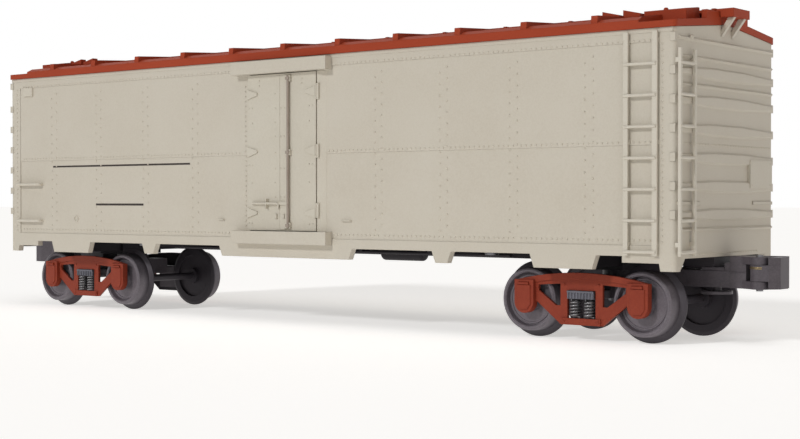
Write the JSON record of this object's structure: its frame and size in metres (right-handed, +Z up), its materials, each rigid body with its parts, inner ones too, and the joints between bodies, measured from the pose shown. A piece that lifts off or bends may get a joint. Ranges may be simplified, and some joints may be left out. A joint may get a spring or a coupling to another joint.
{
  "type": "model refrigerator car",
  "caption": "Toy railway refrigerator car with ribbed ends, hinged side doors, roof hatches, ladders and two swivelling trucks with knuckle couplers.",
  "frame": {"origin": "on the plane under the wheel flanges, below the middle of the car", "axes": "+X along the car towards the end without the hand brake, +Z up"},
  "size_m": [0.3016, 0.0626, 0.0886],
  "materials": {
    "body_plastic": "satin moulded",
    "roof_plastic": "satin moulded",
    "door_plastic": "satin moulded",
    "red_castings": "satin paint",
    "wheel_metal": "blackened, worn bright on the treads",
    "black_castings": "satin black",
    "black_plastic": "satin moulded",
    "spring_steel": "dull",
    "screw_steel": "dull"
  },
  "bodies": {
    "car_body": {"body_shell": "body_plastic", "placard_boards": "body_plastic", "roof": "roof_plastic", "running_board": "roof_plastic", "board_brackets": "body_plastic", "ice_hatches": "roof_plastic", "hatch_rests": "roof_plastic", "side_ladder_near": "body_plastic", "side_ladder_far": "body_plastic", "end_ladder_left": "body_plastic", "end_ladder_right": "body_plastic", "grab_irons": "body_plastic", "brake_gear": "body_plastic", "brake_wheel": "black_castings", "floor": "black_plastic", "centre_sill": "black_plastic", "body_bolsters": "black_plastic", "floor_screws": "screw_steel", "air_tank": "black_plastic", "brake_cylinder": "black_plastic", "brake_line": "black_plastic", "pivot_screw_a": "screw_steel", "pivot_screw_b": "screw_steel"},
    "door_near": {"door_near": "door_plastic"},
    "door_far": {"door_far": "door_plastic"},
    "truck_a": {"truck_a_bolster": "black_castings", "truck_a_frame_right": "red_castings", "truck_a_frame_left": "red_castings", "truck_a_springs": "spring_steel", "coupler_arm_a": "black_castings", "coupler_a": "black_castings", "knuckle_pin_a": "screw_steel", "uncoupler_plate_a": "black_castings"},
    "knuckle_a": {"knuckle_a": "black_castings"},
    "wheelset_a1": {"wheelset_a1": "wheel_metal"},
    "wheelset_a2": {"wheelset_a2": "wheel_metal"},
    "truck_b": {"truck_b_bolster": "black_castings", "truck_b_frame_right": "red_castings", "truck_b_frame_left": "red_castings", "truck_b_springs": "spring_steel", "coupler_arm_b": "black_castings", "coupler_b": "black_castings", "knuckle_pin_b": "screw_steel", "uncoupler_plate_b": "black_castings"},
    "knuckle_b": {"knuckle_b": "black_castings"},
    "wheelset_b1": {"wheelset_b1": "wheel_metal"},
    "wheelset_b2": {"wheelset_b2": "wheel_metal"}
  },
  "joints": [
    {"name": "truck_a_swivel", "type": "hinge", "parent": "car_body", "child": "truck_a", "pos_m": [0.10185, 0, 0.0188], "axis": [0, 0, 1], "range_deg": [-12, 12]},
    {"name": "wheelset_a1_spin", "type": "hinge", "parent": "truck_a", "child": "wheelset_a1", "pos_m": [0.08415, 0, 0.01055], "axis": [0, 1, 0], "continuous": true},
    {"name": "wheelset_a2_spin", "type": "hinge", "parent": "truck_a", "child": "wheelset_a2", "pos_m": [0.11955, 0, 0.01055], "axis": [0, 1, 0], "continuous": true},
    {"name": "knuckle_a_turn", "type": "hinge", "parent": "truck_a", "child": "knuckle_a", "pos_m": [0.14555, -0.0044, 0.019], "axis": [0, 0, -1], "range_deg": [0, 30]},
    {"name": "truck_b_swivel", "type": "hinge", "parent": "car_body", "child": "truck_b", "pos_m": [-0.10185, 0, 0.0188], "axis": [0, 0, 1], "range_deg": [-12, 12]},
    {"name": "wheelset_b1_spin", "type": "hinge", "parent": "truck_b", "child": "wheelset_b1", "pos_m": [-0.08415, 0, 0.01055], "axis": [0, 1, 0], "continuous": true},
    {"name": "wheelset_b2_spin", "type": "hinge", "parent": "truck_b", "child": "wheelset_b2", "pos_m": [-0.11955, 0, 0.01055], "axis": [0, 1, 0], "continuous": true},
    {"name": "knuckle_b_turn", "type": "hinge", "parent": "truck_b", "child": "knuckle_b", "pos_m": [-0.14555, 0.0044, 0.019], "axis": [0, 0, -1], "range_deg": [0, 30]},
    {"name": "door_near_swing", "type": "hinge", "parent": "car_body", "child": "door_near", "pos_m": [-0.0137, -0.0289, 0.05265], "axis": [0, 0, -1], "range_deg": [0, 95]},
    {"name": "door_far_swing", "type": "hinge", "parent": "car_body", "child": "door_far", "pos_m": [0.0137, 0.0289, 0.05265], "axis": [0, 0, -1], "range_deg": [0, 95]}
  ]
}
